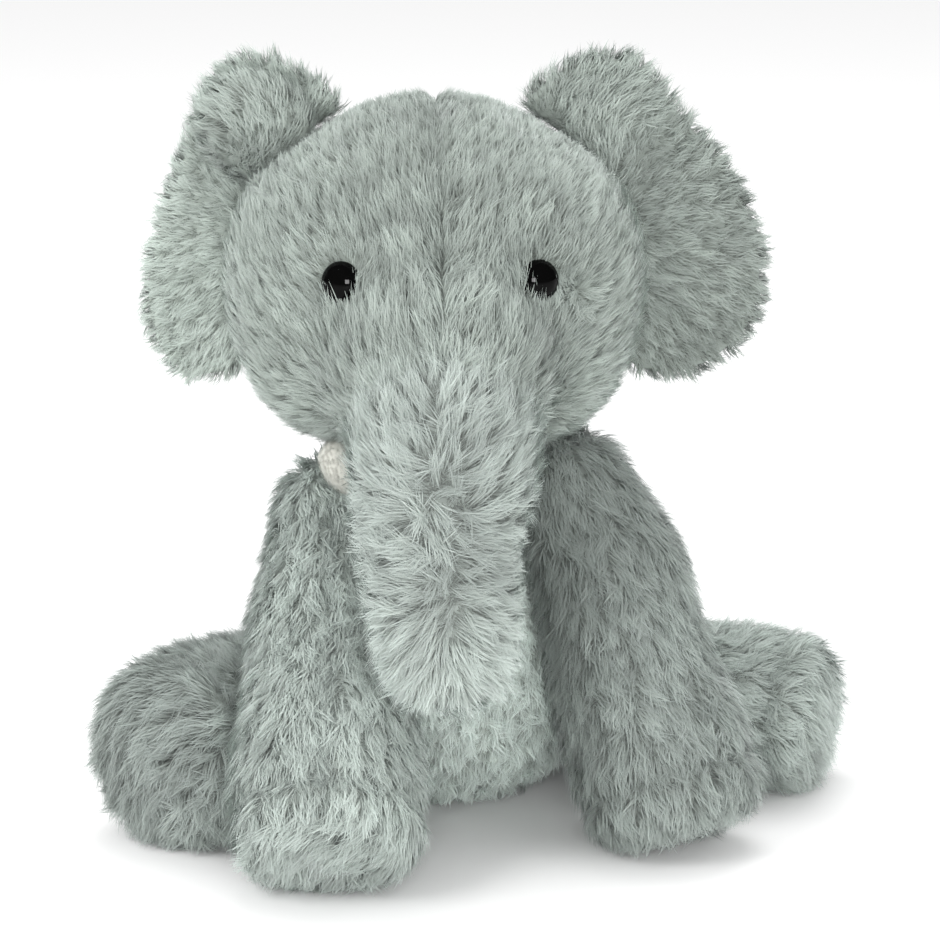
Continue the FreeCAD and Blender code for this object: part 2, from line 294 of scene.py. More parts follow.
PILE_COLOURS = {                 # root, middle and tip
    "head_plush": ((0.15, 0.168, 0.15), (0.33, 0.375, 0.34), (0.52, 0.585, 0.545)),
    "trunk_plush": ((0.15, 0.163, 0.15), (0.36, 0.405, 0.375), (0.60, 0.67, 0.635)),
    "ear_plush": ((0.15, 0.168, 0.15), (0.34, 0.385, 0.35), (0.53, 0.595, 0.555)),
    "body_plush": ((0.15, 0.166, 0.152), (0.35, 0.395, 0.365), (0.56, 0.63, 0.595)),
    "belly_plush": ((0.24, 0.265, 0.243), (0.52, 0.585, 0.54), (0.76, 0.85, 0.81)),
    "short_pile": ((0.48, 0.47, 0.43), (0.56, 0.56, 0.51), (0.61, 0.62, 0.57)),
}
plush = {name: pile_material(name, *colours) for name, colours in PILE_COLOURS.items()}
print("pile materials", [m.name for m in bpy.data.materials if "pl" in m.name])

# %% [markdown]
# ## A tuft
# One fibre is far thinner than anything that can be seen from arm's length: the eye sees small
# locks of many fibres. A tuft here is a handful of tapered blades, planted close together,
# that rise and then lie over towards +X. It is one unit long, and Geometry Nodes give it its
# size. There are a few tufts to choose from, so that no pattern shows.

# %% Tufts
TUFT_KINDS = 4
BLADES = 7
BLADE_WIDTH = 0.040      # of the pile's length
TUFT_SPREAD = 0.10


def blade_points(rng):
    """A blade's middle line and the direction of its width, in a tuft one unit long."""
    turn = rng.normal(0, 0.16)
    length = rng.uniform(0.72, 1.05)
    rise = rng.uniform(0.8, 1.2)
    start = rng.normal(0, TUFT_SPREAD, 2)
    line = np.array([(0, 0, -0.03), (0.30, 0, 0.42 * rise), (0.93, 0, 0.62 * rise)]) * length
    c, s = math.cos(turn), math.sin(turn)
    line = line @ np.array([(c, s, 0), (-s, c, 0), (0, 0, 1)])
    gather = np.array([1.0, 0.8, 0.45])
    line[:, 0] += start[0] * gather
    line[:, 1] += start[1] * gather
    roll = rng.uniform(-0.55, 0.55)
    side = np.array([-s * math.cos(roll), c * math.cos(roll), math.sin(roll)])
    return line, side


def make_tuft(number):
    rng = np.random.default_rng(100 + number)
    verts, faces, across = [], [], []
    for _ in range(BLADES):
        line, side = blade_points(rng)
        n = len(verts)
        wide = BLADE_WIDTH * rng.uniform(0.7, 1.2)
        verts += [line[0] - side * wide / 2, line[0] + side * wide / 2,
                  line[1] - side * wide * 0.45, line[1] + side * wide * 0.45, line[2]]
        faces += [(n, n + 2, n + 3, n + 1), (n + 2, n + 4, n + 3)]
        across += [(-1, 0), (1, 0), (-0.8, 0.5), (0.8, 0.5), (0, 1)]
    mesh = bpy.data.meshes.new(f"tuft_{number}")
    mesh.from_pydata([tuple(v) for v in verts], [], faces)
    strand = mesh.attributes.new("strand", "FLOAT_VECTOR", "POINT")
    strand.data.foreach_set("vector", np.array([(a, b, 0) for a, b in across], np.float32).ravel())
    tuft = bpy.data.objects.new(mesh.name, mesh)
    tufts.objects.link(tuft)
    return tuft


tufts = bpy.data.collections.new("tufts")
for kind in range(TUFT_KINDS):
    make_tuft(kind)

# %% [markdown]
# ## The pile tree
# The tree scatters points over a skin, stands a tuft on each and combs it. The skin brings its
# own orders as attributes: which way to comb, how long the pile is, how far it stands up, and
# its tone, which also carries light and shade painted on the skin. Noise at the size of a lock
# bends the comb, so that tufts gather into locks, and each lock is painted lighter in its middle
# and darker at its edge, as shade between locks. At the end the tufts become real mesh, no lower
# than the floor, with the soft shading of the skin under them, because thousands of crossing
# fibres scatter light as one soft surface.

# %% Build the pile tree
def pile_tree():
    tree = bpy.data.node_groups.new("pile", "GeometryNodeTree")
    face = tree.interface
    face.new_socket("Skin", in_out="INPUT", socket_type="NodeSocketGeometry")
    for label, kind, value in (
        ("Tufts", "NodeSocketCollection", None), ("Tufts per m2", "NodeSocketFloat", 6e5),
        ("Mess", "NodeSocketFloat", 0.3), ("Lock size", "NodeSocketFloat", 0.008),
        ("Lock strength", "NodeSocketFloat", 0.5), ("Gather", "NodeSocketFloat", 1.0),
        ("Tone spread", "NodeSocketFloat", 0.3),
        ("Thickness", "NodeSocketFloat", 1.0), ("Seed", "NodeSocketInt", 1),
        ("Material", "NodeSocketMaterial", None),
    ):
        socket = face.new_socket(label, in_out="INPUT", socket_type=kind)
        if value is not None:
            socket.default_value = value
    face.new_socket("Pile", in_out="OUTPUT", socket_type="NodeSocketGeometry")
    nodes = tree.nodes
    given, result = nodes.new("NodeGroupInput"), nodes.new("NodeGroupOutput")

    def node(kind, inputs=(), **settings):
        made = nodes.new(kind)
        for key, value in settings.items():
            setattr(made, key, value)
        for socket, value in dict(inputs).items():
            if isinstance(value, bpy.types.NodeSocket):
                link(tree, value, made.inputs[socket])
            else:
                made.inputs[socket].default_value = value
        return made

    def math_node(operation, a, b=0.0):
        return node("ShaderNodeMath", {0: a, 1: b}, operation=operation).outputs[0]

    def vector_node(operation, a, b=None, scale=None):
        made = node("ShaderNodeVectorMath", {0: a}, operation=operation)
        if b is not None:
            link(tree, b, made.inputs[1])
        if scale is not None:
            if isinstance(scale, float):
                made.inputs["Scale"].default_value = scale
            else:
                link(tree, scale, made.inputs["Scale"])
        return made.outputs[0]

    def attribute(name, kind):
        made = node("GeometryNodeInputNamedAttribute", {"Name": name}, data_type=kind)
        return made.outputs["Attribute"]

    def random(low, high, salt, kind="FLOAT"):
        seed = math_node("ADD", given.outputs["Seed"], float(salt))
        made = node("FunctionNodeRandomValue", {}, data_type=kind)
        index = 0 if kind == "FLOAT_VECTOR" else 2
        made.inputs[index].default_value = low
        made.inputs[index + 1].default_value = high
        link(tree, seed, made.inputs["Seed"])
        return made.outputs[0 if kind == "FLOAT_VECTOR" else 1]

    def store(geometry, name, value, kind, domain="POINT"):
        made = node("GeometryNodeStoreNamedAttribute",
                    {"Geometry": geometry, "Name": name, "Value": value},
                    data_type=kind, domain=domain)
        return made.outputs["Geometry"]

    # where the tufts stand
    thick = math_node("MULTIPLY", given.outputs["Tufts per m2"], attribute("thick", "FLOAT"))
    scatter = node("GeometryNodeDistributePointsOnFaces",
                   {"Mesh": given.outputs["Skin"], "Density": thick,
                    "Seed": given.outputs["Seed"]}, distribute_method="RANDOM")

    # locks: noise across the surface bends the comb
    position = node("GeometryNodeInputPosition").outputs[0]
    rate = math_node("DIVIDE", 1.0, given.outputs["Lock size"])
    noise = node("ShaderNodeTexNoise", {"Vector": position, "Scale": rate, "Detail": 1.5})
    swirl = vector_node("SUBTRACT", noise.outputs["Color"], node(
        "ShaderNodeCombineXYZ", {0: 0.5, 1: 0.5, 2: 0.5}).outputs[0])
    strength = math_node("MULTIPLY", given.outputs["Lock strength"], 4.0)
    comb = vector_node("ADD", attribute("comb", "FLOAT_VECTOR"),
                       vector_node("SCALE", swirl, scale=strength))
    small = math_node("MULTIPLY", rate, 2.1)
    wavy = vector_node("ADD", position, vector_node("SCALE", swirl, scale=math_node(
        "MULTIPLY", given.outputs["Lock size"], 0.5)))
    cells = node("ShaderNodeTexVoronoi", {"Vector": wavy, "Scale": small})
    to_middle = vector_node("SCALE", vector_node("SUBTRACT", cells.outputs["Position"], wavy),
                            scale=math_node("MULTIPLY", small, given.outputs["Gather"]))
    comb = vector_node("ADD", comb, to_middle)

    # the turn of each tuft: up along the skin's normal, over along the comb, with some mess
    up = node("FunctionNodeAlignRotationToVector",
              {"Vector": scatter.outputs["Normal"]}, axis="Z")
    over = node("FunctionNodeAlignRotationToVector",
                {"Rotation": up.outputs[0], "Vector": comb}, axis="X", pivot_axis="Z")
    jitter = vector_node("SCALE", random((-0.5, -0.9, -1.4), (0.5, 0.9, 1.4), 7, "FLOAT_VECTOR"),
                         scale=given.outputs["Mess"])
    messy = node("FunctionNodeRotateRotation",
                 {0: over.outputs[0], 1: node("FunctionNodeEulerToRotation",
                                              {0: jitter}).outputs[0]}, rotation_space="LOCAL")

    # its size
    length = math_node("MULTIPLY", attribute("pile", "FLOAT"), random(0.72, 1.12, 11))
    stand = math_node("MULTIPLY", length, attribute("stand", "FLOAT"))
    wide = math_node("MULTIPLY", length, given.outputs["Thickness"])
    size = node("ShaderNodeCombineXYZ", {0: length, 1: wide, 2: stand}).outputs[0]

    # its tone, and the shading direction that it will keep
    broad = node("ShaderNodeTexNoise", {"Vector": position, "Scale": math_node(
        "MULTIPLY", rate, 0.8), "Detail": 2.0}).outputs[0]
    tone = math_node("ADD", attribute("tone", "FLOAT"), math_node(
        "MULTIPLY", math_node("SUBTRACT", broad, 0.5), 0.8))
    of_lock = node("ShaderNodeSeparateXYZ", {0: cells.outputs["Color"]}).outputs["X"]
    tone = math_node("ADD", tone, math_node(
        "MULTIPLY", math_node("SUBTRACT", of_lock, 0.5), 0.22))
    # painted light in the middle of each lock and painted shade towards its edge
    rim = math_node("SUBTRACT", 0.35, cells.outputs["Distance"])
    tone = math_node("ADD", tone, math_node("MULTIPLY", rim, 0.35))
    tone = math_node("ADD", tone, math_node(
        "MULTIPLY", random(-0.5, 0.5, 13), given.outputs["Tone spread"]))
    shade = vector_node("ADD", scatter.outputs["Normal"],
                        random((-0.35, -0.35, -0.35), (0.35, 0.35, 0.35), 17, "FLOAT_VECTOR"))
    shade = vector_node("ADD", shade, vector_node("SCALE", swirl, scale=1.2))
    cloud = store(scatter.outputs["Points"], "tuft_tone", tone, "FLOAT")
    cloud = store(cloud, "shade", vector_node("NORMALIZE", shade), "FLOAT_VECTOR")

    # plant, and make real
    kinds = node("GeometryNodeCollectionInfo",
                 {"Collection": given.outputs["Tufts"], "Separate Children": True,
                  "Reset Children": True})
    planted = node("GeometryNodeInstanceOnPoints",
                   {"Points": cloud, "Instance": kinds.outputs[0], "Pick Instance": True,
                    "Rotation": messy.outputs[0], "Scale": size})
    real = node("GeometryNodeRealizeInstances", {"Geometry": planted.outputs[0]}).outputs[0]

    # the skin under it takes part with the tone of the roots
    skin = store(given.outputs["Skin"], "tuft_tone", attribute("tone", "FLOAT"), "FLOAT")
    skin = store(skin, "shade", node("GeometryNodeInputNormal").outputs[0], "FLOAT_VECTOR")
    skin = store(skin, "ground", 1.0, "FLOAT")
    both = node("GeometryNodeJoinGeometry")
    link(tree, real, both.inputs[0])
    link(tree, skin, both.inputs[0])

    strand = node("ShaderNodeSeparateXYZ", {0: attribute("strand", "FLOAT_VECTOR")})
    u = math_node("ADD", math_node("MULTIPLY", attribute("tuft_tone", "FLOAT"), 0.96), 0.02)
    u = node("ShaderNodeClamp", {"Value": u, "Min": 0.012, "Max": 0.988}).outputs[0]
    u = math_node("ADD", u, math_node("MULTIPLY", strand.outputs["X"], 0.006))
    v = math_node("ADD", strand.outputs["Y"], math_node(
        "MULTIPLY", attribute("ground", "FLOAT"), 0.45))
    v = node("ShaderNodeClamp", {"Value": v, "Min": 0.01, "Max": 0.99}).outputs[0]
    mapped = store(both.outputs[0], PILE_MAP, node(
        "ShaderNodeCombineXYZ", {0: u, 1: v}).outputs[0], "FLOAT2", "CORNER")

    # keep off the floor
    xyz = node("ShaderNodeSeparateXYZ", {0: position})
    lifted = node("ShaderNodeCombineXYZ", {
        0: xyz.outputs["X"], 1: xyz.outputs["Y"],
        2: math_node("MAXIMUM", xyz.outputs["Z"], 0.0004)})
    placed = node("GeometryNodeSetPosition", {"Geometry": mapped, "Position": lifted.outputs[0]})
    shaded = node("GeometryNodeSetMeshNormal",
                  {"Mesh": placed.outputs[0], "Custom Normal": attribute("shade", "FLOAT_VECTOR")},
                  mode="FREE", domain="POINT")
    smooth = node("GeometryNodeSetShadeSmooth", {"Geometry": shaded.outputs[0]})
    coated = node("GeometryNodeSetMaterial", {"Geometry": smooth.outputs[0],
                                              "Material": given.outputs["Material"]})
    link(tree, coated.outputs[0], result.inputs[0])
    return tree


pile = pile_tree()
identifiers = {item.name: item.identifier for item in pile.interface.items_tree
               if item.item_type == "SOCKET" and item.in_out == "INPUT"}
print("pile tree with", len(pile.nodes), "nodes")

# %% [markdown]
# ## Skins
# A stuffed part is a taut closed form. The CAD part already has its measured shape, so its
# panels and filling are copied, fused by a voxel remesh and smoothed, which rounds every edge
# as sewn cloth rounds. Where it must look full, Cloth with a pressure inside blows it up a
# little, with the movement of each point capped. The seams are pulled in afterwards.


# %% Copy, fuse and smooth
def lump(at, size, turn=(0, 0, 0)):
    """A closed ellipsoid to be fused with a skin, in metres and degrees."""
    mesh = bpy.data.meshes.new("lump")
    shape = bmesh.new()
    bmesh.ops.create_icosphere(shape, subdivisions=4, radius=1)
    place = Matrix.Translation(at)
    for axis, angle in zip("XYZ", turn):
        place = place @ Matrix.Rotation(math.radians(angle), 4, axis)
    place = place @ Matrix.Diagonal((*size, 1))
    bmesh.ops.transform(shape, matrix=place, verts=shape.verts)
    shape.to_mesh(mesh)
    shape.free()
    return mesh


def baked(obj):
    """The object with its modifiers made real."""
    made = bpy.data.meshes.new_from_object(
        obj.evaluated_get(bpy.context.evaluated_depsgraph_get()))
    obj.modifiers.clear()
    old, obj.data = obj.data, made
    bpy.data.meshes.remove(old)
    return obj


def fused(name, nodes, lumps=(), voxel=2.0, smooth=8):
    """One closed skin over these CAD nodes and lumps."""
    shape = bmesh.new()
    for mesh in [frame["nodes"][n].data for n in nodes] + list(lumps):
        shape.from_mesh(mesh)
    bmesh.ops.remove_doubles(shape, verts=shape.verts, dist=1e-6)
    mesh = bpy.data.meshes.new(name)
    shape.to_mesh(mesh)
    shape.free()
    skin = bpy.data.objects.new(name, mesh)
    bpy.context.collection.objects.link(skin)
    remesh = skin.modifiers.new("fuse", "REMESH")
    remesh.mode, remesh.voxel_size = "VOXEL", voxel * MM
    soft = skin.modifiers.new("round", "SMOOTH")
    soft.iterations, soft.factor = smooth, 0.5
    return baked(skin)


def outer_only(skin):
    """Drops closed pockets left inside the skin, keeping its largest shell."""
    shape = bmesh.new()
    shape.from_mesh(skin.data)
    left, shells = set(shape.verts), []
    while left:
        seed = left.pop()
        shell, todo = {seed}, [seed]
        while todo:
            for edge in todo.pop().link_edges:
                for vert in edge.verts:
                    if vert in left:
                        left.discard(vert)
                        shell.add(vert)
                        todo.append(vert)
        shells.append(shell)
    biggest = max(shells, key=len)
    bmesh.ops.delete(shape, geom=[v for v in shape.verts if v not in biggest], context="VERTS")
    shape.to_mesh(skin.data)
    shape.free()
    return skin


def plump(skin, cap=2.0, pressure=4.0):
    """Filling pushes the cloth out; no point moves further than cap millimetres."""
    before = coordinates(skin)
    cloth = skin.modifiers.new("pressure", "CLOTH")
    cloth.settings.use_pressure = True
    cloth.settings.uniform_pressure_force = pressure
    cloth.settings.effector_weights.gravity = 0
    cloth.point_cache.frame_start, cloth.point_cache.frame_end = 1, 20
    for number in range(1, 21):
        bpy.context.scene.frame_set(number)
    baked(skin)
    move = coordinates(skin) - before
    far = np.linalg.norm(move, axis=1, keepdims=True)
    set_coordinates(skin, before + move * np.minimum(1, cap * MM / np.maximum(far, 1e-9)))
    return skin


def coordinates(obj):
    flat = np.empty(len(obj.data.vertices) * 3, np.float32)
    obj.data.vertices.foreach_get("co", flat)
    return flat.reshape(-1, 3).astype(float)


def set_coordinates(obj, p):
    obj.data.vertices.foreach_set("co", np.asarray(p, np.float32).ravel())
    obj.data.update()


def normals(obj):
    flat = np.empty(len(obj.data.vertices) * 3, np.float32)
    obj.data.vertices.foreach_get("normal", flat)
    return flat.reshape(-1, 3).astype(float)


def finer(obj, levels=1):
    """Subdivides the skin smoothly."""
    rounder = obj.modifiers.new("finer", "SUBSURF")
    rounder.levels = rounder.render_levels = levels
    return baked(obj)


def push(obj, amount):
    """Moves each point along its normal by amount metres."""
    set_coordinates(obj, coordinates(obj) + normals(obj) * amount[:, None])


def bump(distance, width):
    """1 at distance 0, falling smoothly away over width."""
    return np.exp(-(distance / width) ** 2)


def step(value, start, end):
    """0 before start, 1 after end, smooth between."""
    t = np.clip((value - start) / (end - start), 0, 1)
    return t * t * (3 - 2 * t)


# %% [markdown]
# ## The head's skin
# A plush head is two side panels sewn down the middle and stuffed firm. The two halves of
# filling alone would leave a step at their joint, so a ball of the same size is fused with
# them, and a lump where the trunk grows carries the face forward into it. Sculpting by hand
# would do as well, but a sum of smooth bumps can be read and changed: the cheeks go out, and
# the crown, the seam, the eye sockets and one tuck in the cloth go in.

# %% Head skin
def in_head(p):
    """Places in the head's own frame, in millimetres: x to the toy's left, y back, z up."""
    q = p - head_at
    c, s = math.cos(head_turn), math.sin(head_turn)
    return np.column_stack([q[:, 0] * c + q[:, 1] * s, q[:, 1] * c - q[:, 0] * s, q[:, 2]]) / MM


EYE_IN, EYE_DOWN = 1.8, 1.7      # how the cloth draws each eye in and down, in millimetres
EYE_MOVES = np.array([[EYE_IN, 0, -EYE_DOWN], [-EYE_IN, 0, -EYE_DOWN]])
TUCK = np.array([32.5, -29, 2])
NOSE = (26 * MM, 25 * MM, 25 * MM)
NOSE_SHIFT = np.array([0.0, -1.0, 0.0]) * MM
head = fused("head", ["head_side_left", "head_side_right", "head_filling_left",
                      "head_filling_right"],
             [lump(head_at, (head_wide - 1.5 * MM, head_high - 1.5 * MM, head_high - 1.5 * MM)),
              lump(joints["trunk"] + NOSE_SHIFT, NOSE)],
             voxel=2.2, smooth=14)
head = finer(outer_only(head))
p = in_head(coordinates(head))
eye_at = in_head(np.array(eyes)) + EYE_MOVES
seam = bump(p[:, 0] - 0.4, 2.0) * step(-p[:, 1] + p[:, 2] * 0.5, -6, 6)
cheeks = sum(bump(np.linalg.norm(p - np.array([side * 34, -20, -28]), axis=1), 19)
             for side in (-1, 1))
crown = sum(bump(np.linalg.norm((p - np.array([side * 29, -4, 36])) * [1, 0.5, 1], axis=1), 14)
            for side in (-1, 1))
sockets = sum(bump(np.linalg.norm(p - e, axis=1), 8.5) for e in eye_at)
tuck = bump(np.linalg.norm((p - TUCK) * [1, 0.6, 2.2], axis=1), 6)
push(head, (4.6 * cheeks - 1.6 * crown - 1.6 * seam - 1.8 * sockets - 2.2 * tuck) * MM)
print("head skin", len(head.data.vertices), "points")

# %% [markdown]
# ## The other skins
# Trunk, torso and legs are tubes and pears of plush. Their seams vanish in the pile, so each
# is fused whole. The torso and the legs are the parts that a hand squeezes, and Cloth rounds
# them. The corner of the chin shows beside the trunk as a small lip, and the front top corner
# of each ear is folded over into a soft roll. Both are lumps fused with the panels.

# %% Other skins
LEGS = ("front_leg_left", "front_leg_right", "hind_leg_left", "hind_leg_right")
LIP_PLACE = joints["front_leg_right"] + np.array([4.5, -15, 19]) * MM
LIP_SIZE, LIP_TURN = (9 * MM, 7 * MM, 6.5 * MM), (0, 40, 0)
ROLL_SIZE = (13.5 * MM, 6.5 * MM, 15 * MM)
ROLL_OUT, ROLL_FORWARD, ROLL_BELOW_TOP = 45.5 * MM, 26 * MM, 17.5 * MM

skins = {"head": head}
skins["chin"] = finer(outer_only(fused(
    "chin", ["chin_gusset", "chin_filling"], [lump(LIP_PLACE, LIP_SIZE, LIP_TURN)],
    voxel=1.6)))
skins["trunk"] = finer(outer_only(fused(
    "trunk", ["trunk_side_left", "trunk_side_right", "trunk_filling"], voxel=2.0)))
skins["torso"] = finer(plump(outer_only(fused("torso", [
    "belly_panel", "back_panel_left", "back_panel_right", "torso_filling", "bean_pouch"],
    voxel=4.0, smooth=4))), 2)
for leg in LEGS:
    skins[leg] = finer(plump(outer_only(fused(leg, [
        f"{leg}_outer", f"{leg}_inner", f"{leg}_sole", f"{leg}_filling"],
        voxel=3.0, smooth=3)), cap=1.2), 1)
skins["neck"] = outer_only(fused("neck", ["neck_band", "neck_filling"], voxel=1.6))
skins["tail"] = finer(outer_only(fused("tail", ["tail_strip"], voxel=1.0, smooth=3)))
for side, sign in (("left", 1), ("right", -1)):
    top = points_of(f"ear_front_{side}")[:, 2].max()
    fold = lump((sign * ROLL_OUT, -ROLL_FORWARD, top - ROLL_BELOW_TOP), ROLL_SIZE,
                (20, sign * 30, sign * 8))
    skins[f"ear_{side}"] = finer(outer_only(fused(
        f"ear_{side}", [f"ear_front_{side}", f"ear_back_{side}"], [fold],
        voxel=1.5, smooth=4)))
for name, skin in skins.items():
    print(name, len(skin.data.vertices), "points")

# %% [markdown]
# ## Orders for the pile
# Every skin now says how its pile lies. The comb is a direction in space that the tree lays
# flat on the surface. On plush it mostly runs down, because the cloth is cut with its nap
# that way, but hands and packing bend it: it parts along the middle of the trunk, swirls on
# the feet, and turns away from a seam.

# %% Attributes and the growing of pile
from mathutils.bvhtree import BVHTree

trees = {name: BVHTree.FromPolygons(
    [v.co for v in skin.data.vertices], [f.vertices for f in skin.data.polygons])
    for name, skin in skins.items()}


def depth_in(name, p):
    """How far each place is outside this skin, in millimetres; below 0 is inside."""
    out = np.full(len(p), 50.0)
    for i, place in enumerate(p):
        at, normal, _, distance = trees[name].find_nearest(Vector(place), 0.05)
        if at is not None:
            inside = (Vector(place) - at).dot(normal) < 0
            out[i] = (-distance if inside else distance) / MM
    return out


def swirl(p, centre, axis, size):
    """A turning comb round centre, fading over size metres."""
    q = p - centre
    return np.cross(axis, q) / size * bump(np.linalg.norm(q, axis=1) / size, 1)[:, None]


def orders(name, comb, pile, stand, tone, thick, near=(), into=(), bury=0.0):
    """Writes the pile's orders on a skin. near lists the skins that press on it, where its pile is
    shorter and painted darker, as shade between the parts, and into those that it grows out of:
    no pile grows deeper than bury millimetres inside them."""
    skin = skins[name]
    p = coordinates(skin)
    thick = np.broadcast_to(np.asarray(thick, float), len(p)).copy()
    pile = np.broadcast_to(np.asarray(pile, float), len(p)).copy()
    tone = np.broadcast_to(np.asarray(tone, float), len(p)).copy()
    for other in into:
        thick[depth_in(other, p) < -bury] = 0
    for other in near:
        out = depth_in(other, p)
        thick[out < -3.5] = 0
        pile *= 0.65 + 0.35 * step(out, 0.0, 5.0)
        # painted shade where another part presses on this one
        tone -= 0.10 * (1 - step(out, 0.0, 6.0))
    comb = np.broadcast_to(np.asarray(comb, float), (len(p), 3))
    values = {"pile": pile * MM, "tone": tone, "thick": thick,
              "stand": np.broadcast_to(np.asarray(stand, float), len(p))}
    for label, value in values.items():
        data = skin.data.attributes.new(label, "FLOAT", "POINT").data
        data.foreach_set("value", np.asarray(value, np.float32))
    data = skin.data.attributes.new("comb", "FLOAT_VECTOR", "POINT").data
    data.foreach_set("vector", np.asarray(comb, np.float32).ravel())


def grow(name, material, per_mm2, mess=0.3, lock=8.0, strength=0.3, spread=0.3, thickness=1.0,
         gather=1.2, seed=1):
    """Skin and pile as one plain mesh."""
    skin = skins[name]
    modifier = skin.modifiers.new("pile", "NODES")
    modifier.node_group = pile
    for label, value in (
        ("Tufts", tufts), ("Tufts per m2", per_mm2 * 1e6), ("Mess", mess),
        ("Lock size", lock * MM), ("Lock strength", strength), ("Gather", gather),
        ("Tone spread", spread),
        ("Thickness", thickness), ("Seed", seed), ("Material", material),
    ):
        modifier[identifiers[label]] = value
    skin.name = f"plush_{name}"
    baked(skin)
    skin.data.name = skin.name
    print(skin.name, len(skin.data.polygons), "faces")
    return skin


# %% [markdown]
# ## Combing the head
# On the face the pile runs up from the nose, spreads to the sides, and turns back over the
# crown. It runs down only on the jaw. It opens around each eye, and is a little longer under
# it, so that its tips cover the eye's lower rim. It is short along the seam and grows long
# towards the trunk, where the two kinds of pile have to meet without an edge.

# %% Head orders
p = coordinates(head)
n = normals(head)
h = in_head(p)
back_side = step(n[:, 1], 0.1, 0.5)
side = np.clip(h[:, 0] / 40, -1.2, 1.2)
jaw = step(-h[:, 2], 8, 34)
crown = step(h[:, 2], 18, 36)
comb = np.column_stack([side * 0.9, -0.15 + 1.1 * crown, 1.0 - 1.3 * jaw])
comb[:, 0] += 0.4 * np.sign(h[:, 0] + 0.01) * bump(h[:, 0], 7)
around = sum(bump(np.linalg.norm(h - e, axis=1), 9.5) for e in eye_at)
for e in eye_at:
    away = unit(h - e)
    above = step((h - e)[:, 2], -3, 2)
    comb += (1.8 * above * bump(np.linalg.norm(h - e, axis=1), 8))[:, None] * away
comb += 1.8 * unit(h - TUCK) * bump(np.linalg.norm(h - TUCK, axis=1), 9)[:, None]
covered = sum((np.linalg.norm(h - e, axis=1) < 4.9) for e in eye_at)
seam = bump(h[:, 0] - 0.4, 1.6) * step(-h[:, 1] + h[:, 2] * 0.5, -6, 6)
seam *= step(h[:, 2], -6, 4)
nose = bump(np.linalg.norm((h - np.array([0, -46, -8])) * [1.15, 1, 1], axis=1), 27)
below = sum(bump(np.linalg.norm(h - e + [0, 0, 6.5], axis=1), 4) for e in eye_at)
orders(
    "head", comb,
    pile=(5.1 - 0.4 * around - 1.0 * seam + 3.0 * nose + 1.3 * below) * (1 - 0.12 * back_side),
    stand=1.0 - 0.45 * crown,
    # painted light towards both sides of the head, a little more on the toy's left, on the jaw and
    # on the crown, as on its lit edges; painted shade in the seam and around the eyes
    tone=0.12 + 0.06 * side + 0.40 * side ** 2 + 0.24 * jaw - 0.12 * seam - 0.04 * around
    + 0.26 * nose + 0.10 * step(h[:, 2], 22, 40),
    thick=(1 - 0.45 * back_side) * (covered < 1),
    near=["chin", "neck", "ear_left", "ear_right"], into=["trunk"], bury=3.0,
)
head = grow("head", plush["head_plush"], 0.76, mess=0.20, lock=7, strength=0.24, spread=0.12,
            gather=0.45, seed=1)

# %% [markdown]
# ## Combing the trunk
# The trunk has the longest and palest pile. Handling has parted it down the middle: it runs
# up at the root, out to both sides half way, and down at the tip. The parting wanders, because
# a straight one would look ruled. On the toy's left the trunk has a waist beside the leg.

# %% Trunk orders
p = coordinates(skins["trunk"])
n = normals(skins["trunk"])
h = in_head(p)
x = h[:, 0]
low_end = step(-h[:, 2], 55, 92)
root = step(h[:, 2], -58, -4)
wander = 2.0 * np.sin(h[:, 2] / 9.0)
right_left = np.tanh((x + 1 + wander) / 6)
wave = 0.16 * np.sin(h[:, 2] / 6.0 + 1.3 * np.sin(x / 7.0))
comb = np.column_stack([right_left * (1 - 0.5 * root), -0.1 + 0 * x,
                        0.1 - 0.3 * bump(x, 5) + wave + 1.2 * root - 1.2 * low_end])
waist = bump(np.linalg.norm(h[:, [0, 2]] - [23, -60], axis=1), 14)
push(skins["trunk"], -1.8 * waist * MM)
parting = bump(x, 2.2) * step(-n[:, 1], 0.2, 0.6) * step(-h[:, 2], 25, 40)
edge = np.clip(np.abs(x) / 20, 0, 1)
orders(
    "trunk", comb,
    pile=8.6 - 0.8 * root - 1.5 * parting + 0.6 * low_end - 3.0 * waist,
    stand=0.72 - 0.1 * parting,
    # painted light along both edges of the trunk, and painted shade in the parting
    tone=0.30 + 0.26 * edge ** 2 + 0.5 * low_end - 0.08 * parting + 0.10 * root,
    thick=1 - 0.3 * step(n[:, 1], 0.1, 0.5),
    near=["chin"], into=["head"], bury=0.5,
)
trunk = grow("trunk", plush["trunk_plush"], 0.95, mess=0.26, lock=9, strength=0.34,
             spread=0.2, gather=0.8, thickness=0.62, seed=2)

# %% [markdown]
# ## Combing the ears
# The ears' pile runs out from the head to the rim, all round. It curls about the folded
# corner, and is short in the hollow beside it, with painted shade for the shadow that the corner
# casts there.

# %% Ear orders
ears = []
for sign, name in ((1, "ear_left"), (-1, "ear_right")):
    p = coordinates(skins[name])
    n = normals(skins[name])
    h = in_head(p)
    out = sign * h[:, 0]
    back_side = step(n[:, 1], 0.1, 0.4)
    comb = unit(np.column_stack([sign * (out - 38), 0 * out, h[:, 2] - 6]))
    fold_at = np.array([sign * 46, 6, 36.0])
    comb += 1.6 * swirl(h, fold_at, np.array([0, sign * 1.0, 0]), 12)
    fold = bump(np.linalg.norm((h - np.array([sign * 44, 6, 36])) * [1, 0.4, 1], axis=1), 16)
    hollow = bump(np.linalg.norm((h - np.array([sign * 54, 10, 24])) * [1.6, 0.4, 0.7], axis=1), 9)
    orders(
        name, comb,
        pile=5.3 + 0.8 * fold - 1.5 * hollow,
        stand=0.85,
        # painted light and shade: on the left ear the folded corner is lit and the rest in shade,
        # on the right ear the other way round; painted shadow in the hollow
        tone=(0.26 if sign > 0 else 0.9) + (0.5 if sign > 0 else -0.6) * fold - 0.3 * hollow,
        thick=1 - 0.45 * back_side,
        near=["head"],
    )
    ears.append(grow(name, plush["ear_plush"], 0.70, mess=0.22, lock=8, strength=0.28,
                     spread=0.15, gather=0.7, seed=3 + sign))
